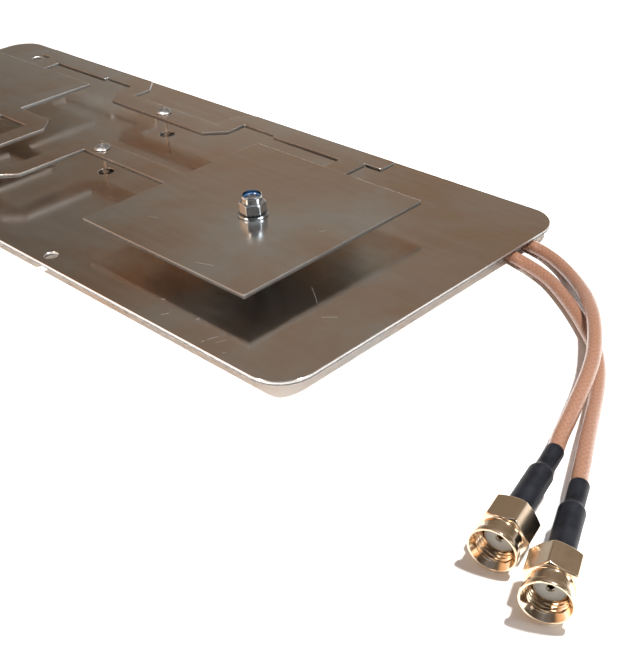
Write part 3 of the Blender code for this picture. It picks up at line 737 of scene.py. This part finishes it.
def sheet_outlines():
    """The sheet's outer edge and its one inner edge. Strips are two halves wide, with mitred corners."""
    half, mitre = 3.15, 4.6
    near, far = PATCH_Y - PATCH_HALF, PATCH_Y + PATCH_HALF
    right, inner = PATCH_X + PATCH_HALF, PATCH_X - PATCH_HALF
    strip_low, strip_high = PATCH_Y - half, PATCH_Y + half
    leg_right, leg_left = MIDDLE_X + half, MIDDLE_X - half
    link_x, bridge_y, far_leg_x = -24.2, 20.8, MIDDLE_X + 21.1
    link_right, link_left = link_x + half, link_x - half
    bridge_low, bridge_high = bridge_y - half, bridge_y + half
    far_leg_in, far_leg_out = far_leg_x - half, far_leg_x + half
    strip_far, strip_near, strip_step = 34.4, 28.4, 27.3
    stub, tab, tab_near = 3.3, 8.3, 29.2

    def mirrored(points):
        return [(2 * MIDDLE_X - x, y) for x, y in reversed(points)]

    far_side = [
        (right, near), (right, far), (PATCH_X + stub, far), (PATCH_X + stub, tab_near),
        (PATCH_X + tab, tab_near), (PATCH_X + tab, strip_far), (far_leg_in + mitre, strip_far),
        (far_leg_in, strip_far - mitre), (far_leg_in, bridge_high)]
    near_side = [
        (2 * MIDDLE_X - inner, near), (2 * MIDDLE_X - inner, strip_low), (link_left, strip_low),
        (link_left, near + mitre), (link_left + mitre, near), (leg_right - mitre, near),
        (leg_right, near + mitre), (leg_right, strip_low), (inner, strip_low), (inner, near)]
    inside_near = [
        (inner, strip_high), (leg_left + mitre, strip_high), (leg_left, strip_high - mitre),
        (leg_left, near + 2 * half), (link_right, near + 2 * half), (link_right, strip_high - mitre),
        (link_right - mitre, strip_high), (2 * MIDDLE_X - inner, strip_high)]
    inside_far = [
        (far_leg_out - mitre, bridge_low), (far_leg_out, bridge_low + mitre), (far_leg_out, strip_near),
        (inner, strip_near), (inner, strip_step), (PATCH_X - stub, strip_step), (PATCH_X - stub, far),
        (inner, far)]
    return far_side + mirrored(far_side) + near_side, inside_near + mirrored(inside_far) + inside_far


def anticlockwise(outline):
    """The outline, reversed if it runs clockwise."""
    area = sum(a[0] * b[1] - b[0] * a[1] for a, b in zip(outline, outline[1:] + outline[:1]))
    return outline if area > 0 else outline[::-1]


def sheared_plate(name, edge, holes, bottom, top, look, node, round_over=0.13):
    """A punched plate with rounded arrises: a filled 2D curve with a small bevel, made a mesh."""
    curve = bpy.data.curves.new(name, "CURVE")
    curve.dimensions = "2D"
    curve.fill_mode = "BOTH"
    curve.bevel_depth = round_over * MM
    curve.bevel_resolution = 2
    curve.extrude = ((top - bottom) / 2 - round_over) * MM
    curve.offset = -round_over * MM
    outlines = [anticlockwise(edge)] + [anticlockwise(hole)[::-1] for hole in holes]
    for outline in outlines:
        spline = curve.splines.new("POLY")
        spline.points.add(len(outline) - 1)
        for point, (x, y) in zip(spline.points, outline):
            point.co = (x * MM, y * MM, 0, 1)
        spline.use_cyclic_u = True
    guide = linked(f"{name}_guide", curve)
    bpy.context.view_layer.update()
    graph = bpy.context.evaluated_depsgraph_get()
    mesh = bpy.data.meshes.new_from_object(guide.evaluated_get(graph), depsgraph=graph)
    bpy.data.objects.remove(guide, do_unlink=True)
    work = bmesh.new()
    work.from_mesh(mesh)
    bmesh.ops.remove_doubles(work, verts=work.verts, dist=0.000001)
    bmesh.ops.recalc_face_normals(work, faces=work.faces)
    bmesh.ops.translate(work, verts=work.verts, vec=(0, 0, (bottom + top) / 2 * MM))
    work.to_mesh(mesh)
    work.free()
    mesh.name = name
    smooth(mesh, 35.0)
    weigh(add_object(name, mesh, look, "antenna", [node]))


def make_plate_and_sheet():
    """The ground plate, and above it the sheet of two patches and their strips."""
    fixing, feed, screw, wire, corner = 1.6, 2.1, 1.7, 0.6, 0.35     # radii
    screw_holes = [circle(spot, screw, 48) for spot in SCREWS.values()]
    holes = [circle(spot, fixing, 48) for spot in FIXING_HOLES]
    holes += [circle(spot, feed, 48) for spot in FEEDS.values()] + screw_holes
    sheared_plate("base_plate", rounded_rectangle(*PLATE_SIZE), holes, PLATE_BOTTOM, PLATE_TOP, "plate",
                  "ground_plate", 0.2)
    outer, inside = (filleted(outline, corner, steps=4) for outline in sheet_outlines())
    holes = [inside] + [circle(spot, wire, 24) for spot in FEEDS.values()] + screw_holes
    sheared_plate("patch_sheet", outer, holes, SHEET_BOTTOM, SHEET_TOP, "sheet", "radiator_sheet")


make_plate_and_sheet()


# ---------------- fastenings

def make_fastening(side):
    """A patch's cap screw, spacer, washer, locking nut and its nylon ring."""
    x, y = SCREWS[side]
    at = (x, y, 0)

    def piece(name, mesh, look, node, slot):
        return weigh(add_object(f"{name}_{side}", mesh, look, "antenna", [f"{node}_{side}"], at))

    def screw_reach(radius, height, angle):
        if 0.9 < radius < 1.35 and height < 1.4:
            return hexagon_radius(angle, M3_SOCKET_FLATS)
        if radius > 2.5:
            return radius + 0.03 * math.cos(36 * angle) * (0.5 < height < 2.7)
        return screw_thread(radius, height, angle)

    screw_thread = threaded(3.2, 14.9, 1.4, 1.6, M3_PITCH, 0.28, -1)
    profile = [(0, 15.0), (1.05, 15.0), (1.25, 14.95)] + ladder(1.5, 14.8, 3.25, 0.084)
    profile += [(1.52, 3.06), (1.6, 3.0)]
    profile += filleted([(1.7, 3.0), (2.75, 3.0), (2.75, 0.0), (1.5, 0.0)], 0.25, closed=False)
    profile += [(1.36, 0.02), (1.25, 0.12), (1.25, 1.25), (1.2, 1.3), (0, 1.5)]
    knurls = {round(2 * math.pi * i / 72, 5) for i in range(72)}
    angles = sorted({round(a, 5) for a in hex_angles()} | knurls)
    piece("cap_screw", turned_mesh(f"cap_screw_{side}", profile, angles, closed=False, reach=screw_reach),
          "zinc", "patch_screw", "zinc_steel")

    low, high = PLATE_TOP + CLEAR, SHEET_BOTTOM - CLEAR
    grooves = [(3.0 - 0.012 * (i % 2), high - 0.3 - (high - low - 0.6) * i / 24) for i in range(25)]
    profile = [(1.7, high), (2.75, high), (2.95, high - 0.12)] + grooves
    profile += [(2.95, low + 0.12), (2.75, low), (1.7, low)]
    piece("standoff", turned_mesh(f"standoff_{side}", profile, 48), "spacer", "spacer", "spacer_metal")

    low = SHEET_TOP + CLEAR
    high = low + 0.5

    def punched(radius, height, angle):
        spot = Vector((math.cos(angle) * 2, math.sin(angle) * 2, side == "left"))
        return radius + 0.02 * noise.noise(spot)

    profile = filleted([(1.7, high - 0.03), (3.42, high), (3.5, high - 0.14), (3.5, low + 0.04), (3.44, low),
                        (1.76, low), (1.7, low + 0.05)], 0.05)
    piece("flat_washer", turned_mesh(f"flat_washer_{side}", profile, 72, reach=punched), "zinc", "washer",
          "zinc_steel")

    low, top = high + CLEAR, high + CLEAR + 4.3
    shoulder, corner, turn = low + 2.7, M3_NUT_FLATS / HEX, math.radians(-10.5)

    def nut_reach(radius, height, angle):
        if radius > 2.46:
            return smaller(radius, hexagon_radius(angle - turn, M3_NUT_FLATS, 42.0))
        return nut_thread(radius, height, angle)

    nut_thread = threaded(low + 0.2, top - 1.6, 1.3, 1.7, M3_PITCH, 0.25, 1)
    crown = filleted([(1.98, top - 0.02), (2.14, top), (2.32, top - 0.12), (2.44, top - 0.5),
                      (2.45, shoulder + 0.12), (2.5, shoulder + 0.02)], 0.12, closed=False)
    chamfer = [(2.5 + (corner - 2.5) * t, shoulder + 0.02 - 0.42 * t ** 1.4)
               for t in (0.2, 0.4, 0.6, 0.8, 1.0)]
    foot = [(corner - (corner - 2.7) * t, low + 0.22 * (1 - t) ** 1.4)
            for t in (0.0, 0.25, 0.5, 0.75, 1.0)]
    threads = ladder(1.4, low + 0.3, top - 1.6, 0.084)
    flank = ladder(corner, shoulder - 0.6, low + 0.45, 0.4)
    profile = crown + chamfer + flank + foot + [(1.75, low), (1.55, low + 0.15)] + threads
    profile += [(1.6, top - 1.5), (2.15, top - 1.48), (2.16, top - 0.45), (2.08, top - 0.2)]
    piece("nyloc_nut", turned_mesh(f"nyloc_nut_{side}", profile, hex_angles(turn), reach=nut_reach), "zinc",
          "lock_nut", "zinc_steel")

    profile = filleted([(1.58, top - 0.72), (1.75, top - 0.56), (2.0, top - 0.56), (2.06, top - 0.7),
                        (2.06, top - 1.4), (1.58, top - 1.4)], 0.08)
    piece("nylon_insert", turned_mesh(f"nylon_insert_{side}", profile, 48), "nylon", "nylon_ring",
          "nylon_blue")


for side_name in SCREWS:
    make_fastening(side_name)


# ---------------- feeds and glue

def make_feed(port):
    """A lead's end: its core up to the strip, the sleeve on it, two solder joints and the bared braid."""
    x, y = FEEDS[port]

    def piece(name, mesh, look, node, slot, at=(0, 0, 0)):
        add_object(f"{name}_{port}", mesh, look, "antenna", [f"{node}_{port}"], at)

    start, end, bend = x + 1.8, SHEET_TOP + 1.7, 0.8
    arc = [(x + bend * (1 - math.sin(a)), y, CABLE_RADIUS + bend * (1 - math.cos(a)))
           for a in (math.pi / 2 * i / 8 for i in range(9))]
    path = [Vector((start, y, CABLE_RADIUS))] + [Vector(p) for p in arc]
    path += [Vector((x + 0.05 * math.sin(i * 0.7), y, 2.6 + (end - 2.6) * i / 10)) for i in range(11)]
    piece("core", tube_mesh(f"core_{port}", path, 0.3, 20), "wire", "feed_wire", "tinned_wire")

    sleeve = filleted([(0.4, 4.35), (0.8, 4.4), (0.85, 2.75), (0.4, 2.8)], 0.06)
    piece("core_sleeve", turned_mesh(f"core_sleeve_{port}", sleeve, 36), "liner", "feed_insulator", "ptfe",
          (x, y, 0))

    seed = 2.0 if port == "a" else 6.0
    base = SHEET_TOP + CLEAR

    def puddled(radius, height, angle):
        spot = Vector((math.cos(angle) * 1.1, math.sin(angle) * 1.1, seed + height * 0.3))
        return radius * (1 + 0.16 * noise.noise(spot) * min(1.0, radius / 1.5))

    dome = ((0.36, 1.12), (0.44, 1.10), (0.55, 1.02), (0.7, 0.93), (0.95, 0.84), (1.25, 0.73), (1.55, 0.58),
            (1.8, 0.4), (2.0, 0.22), (2.1, 0.08), (2.1, 0), (0.36, 0))
    profile = [(radius, base + height) for radius, height in dome]
    piece("feed_joint", turned_mesh(f"feed_joint_{port}", profile, 48, reach=puddled), "solder",
          "feed_solder", "solder", (x, y, 0))

    path = [Vector((x + 2.1 + 6.6 * i / 22, y, CABLE_RADIUS)) for i in range(23)]
    piece("bare_braid", tube_mesh(f"bare_braid_{port}", path, 1.15, 36), "braid", "braid_end",
          "tinned_braid")
    make_fillet(f"braid_joint_{port}", (x + 5.4, y), (4.4, 5.2), 0.9, PLATE_BOTTOM - CLEAR, 1.3, "solder",
                f"ground_solder_{port}", seed)


def make_fillet(name, middle, size, low, high, tunnel, look, node, seed):
    """A lump under the plate. With a tunnel radius, a cable runs through it along X."""
    steps_along, steps_round, steps_tunnel = 22, 30, 14
    sections = []
    for i in range(steps_along + 1):
        t = -1 + 2 * i / steps_along
        x = middle[0] + t * size[0] / 2
        swell = max(0.0, 1 - abs(t) ** 3.2) ** 0.5
        half_width = (tunnel + 0.25) + (size[1] / 2 - tunnel - 0.25) * swell
        ring = []
        for k in range(steps_round + 1):
            angle = math.pi * k / steps_round
            across = math.cos(angle)
            spot = Vector((t * 1.3, across * 1.2, seed))
            depth = (high - low) * math.sin(angle) ** 0.75 * (0.72 + 0.28 * swell)
            depth *= 1 + 0.05 * noise.noise(spot)
            ring.append(Vector((x, middle[1] + half_width * across, high - min(depth, high - low))))
        for k in range(steps_tunnel + 1) if tunnel else ():
            angle = math.pi * k / steps_tunnel
            roof = min(CABLE_RADIUS + tunnel * math.sin(angle), high - 0.02)
            ring.append(Vector((x, middle[1] - tunnel * math.cos(angle), roof)))
        sections.append(ring)
    add_object(name, finished(lofted(sections), name, 40.0), look, "antenna", [node])


for port_name in FEEDS:
    make_feed(port_name)
make_fillet("glue_blob", (96.0, 30.85), (9.0, 3.5), 0.75, PLATE_BOTTOM - CLEAR, 0.0, "glue",
            "glue_bead", 4.0)


# ---------------- floor and light

def make_stage():
    """A plain white floor, clear when seen from below."""
    mesh = bpy.data.meshes.new("floor")
    work = bmesh.new()
    bmesh.ops.create_grid(work, x_segments=1, y_segments=1, size=0.65)
    work.to_mesh(mesh)
    work.free()
    floor = linked("floor", mesh)
    look = Look("floor_white", (0.90, 0.90, 0.90), 0.75)
    look.to("Base Color", look.mix(look.noise(6.0, 2.0), (0.90, 0.90, 0.90), (0.93, 0.93, 0.925)))
    below = look.tree.nodes.new("ShaderNodeNewGeometry").outputs["Backfacing"]
    clear = look.tree.nodes.new("ShaderNodeBsdfTransparent").outputs[0]
    one_sided = wired(look.tree, "ShaderNodeMixShader", (below, look.shader.outputs[0], clear))
    look.tree.links.new(one_sided, look.tree.nodes["Material Output"].inputs["Surface"])
    mesh.materials.append(look.material)


def add_lamp(name, at, radius, watts, colour=(1, 1, 1), kind="POINT"):
    """A small round lamp, whose light is as strong far away as near."""
    data = bpy.data.lights.new(name, kind)
    data.shadow_soft_size = radius
    data.energy = watts
    data.color = colour
    data.use_nodes = True
    falloff = data.node_tree.nodes.new("ShaderNodeLightFalloff")
    emission = data.node_tree.nodes["Emission"]
    data.node_tree.links.new(falloff.outputs["Constant"], emission.inputs["Strength"])
    falloff.inputs["Strength"].default_value = 1.0
    lamp = linked(name, data)
    lamp.location = at
    return lamp


def add_spot(name, at, target, half_angle, radius, watts, colour):
    """The same lamp, kept to a cone."""
    lamp = add_lamp(name, at, radius, watts, colour, "SPOT")
    lamp.data.spot_size = math.radians(2 * half_angle)
    lamp.data.spot_blend = 0.2
    lamp.rotation_euler = (Vector(target) - Vector(at)).to_track_quat("-Z", "Y").to_euler()


# The room's colour by height, from the lowest direction (0) to straight up (1).
SKY = ((0.0, (1.15, 1.14, 1.12)), (0.10, (0.95, 0.93, 0.90)), (0.24, (0.38, 0.33, 0.28)),
       (0.42, (0.235, 0.187, 0.148)), (0.62, (0.225, 0.182, 0.146)), (0.78, (0.28, 0.245, 0.215)),
       (1.0, (0.50, 0.53, 0.63)))
# Darker sides of the room: direction, cosines between which it fades in, light left there.
DARK_SIDES = (((0.77, -0.64, 0.0), 0.20, 0.65, 0.34), ((-0.70, -0.71, 0.0), 0.05, 0.30, 0.52),
              ((0.86, 0.50, 0.05), 0.55, 0.92, 0.60))
# Soft windows: direction, colour added, degrees from the middle where it ends and where it is full.
WINDOWS = (((0.837, 0.305, 0.454), (8.0, 8.2, 8.4), 12, 7),
           ((-0.155, -0.877, 0.454), (4.5, 3.3, 2.5), 12, 7),
           ((-0.81, -0.57, 0.12), (0.92, 0.52, 0.28), 42, 14))
BACKDROP = (0.97, 0.97, 0.965, 1)


def make_world():
    """The room's light, which reflections show, behind a plain pale backdrop that the camera sees."""
    world = bpy.data.worlds.new("room")
    bpy.context.scene.world = world
    world.use_nodes = True
    tree = world.node_tree
    around = tree.nodes.new("ShaderNodeTexCoord").outputs["Generated"]

    def toward(direction, low, high, away, facing):
        """A level that eases from away to facing, between two cosines of the angle to a direction."""
        cosine = wired(tree, "ShaderNodeVectorMath", (around, direction), "Value", operation="DOT_PRODUCT")
        return wired(tree, "ShaderNodeMapRange", (cosine, low, high, away, facing),
                     interpolation_type="SMOOTHSTEP")

    height = wired(tree, "ShaderNodeSeparateXYZ", (around,), "Z")
    light = wired(tree, "ShaderNodeValToRGB", (height,))
    stops = light.node.color_ramp.elements
    (_, lowest), *between, (_, highest) = SKY
    stops[0].color, stops[1].color = (*lowest, 1), (*highest, 1)
    for position, colour in between:
        stops.new(position).color = (*colour, 1)
    for direction, low, high, left in DARK_SIDES:
        shade = toward(direction, low, high, 1.0, left)
        light = wired(tree, "ShaderNodeVectorMath", (light, shade), operation="MULTIPLY")
    for direction, colour, outer, inner in WINDOWS:
        edge, full = math.cos(math.radians(outer)), math.cos(math.radians(inner))
        glow = toward(direction, edge, full, 0.0, 1.0)
        light = wired(tree, "ShaderNodeVectorMath", (glow, colour, light), operation="MULTIPLY_ADD")
    camera_ray = tree.nodes.new("ShaderNodeLightPath").outputs["Is Camera Ray"]
    seen = wired(tree, "ShaderNodeMix", {"Factor": camera_ray, 6: light, 7: BACKDROP}, 2, data_type="RGBA")
    background = tree.nodes["Background"]
    tree.links.new(seen, background.inputs["Color"])
    background.inputs["Strength"].default_value = 1.0


make_stage()
add_lamp("key", (0.21, 0.005, 0.20), 0.010, 75.0, (1.0, 0.985, 0.96))
add_spot("near_side", (0.0, -0.170, 0.235), (0.0, -0.045, 0.0), 24, 0.003, 72.0, (1.0, 0.91, 0.87))
make_world()
bpy.context.scene.view_settings.view_transform = "Standard"
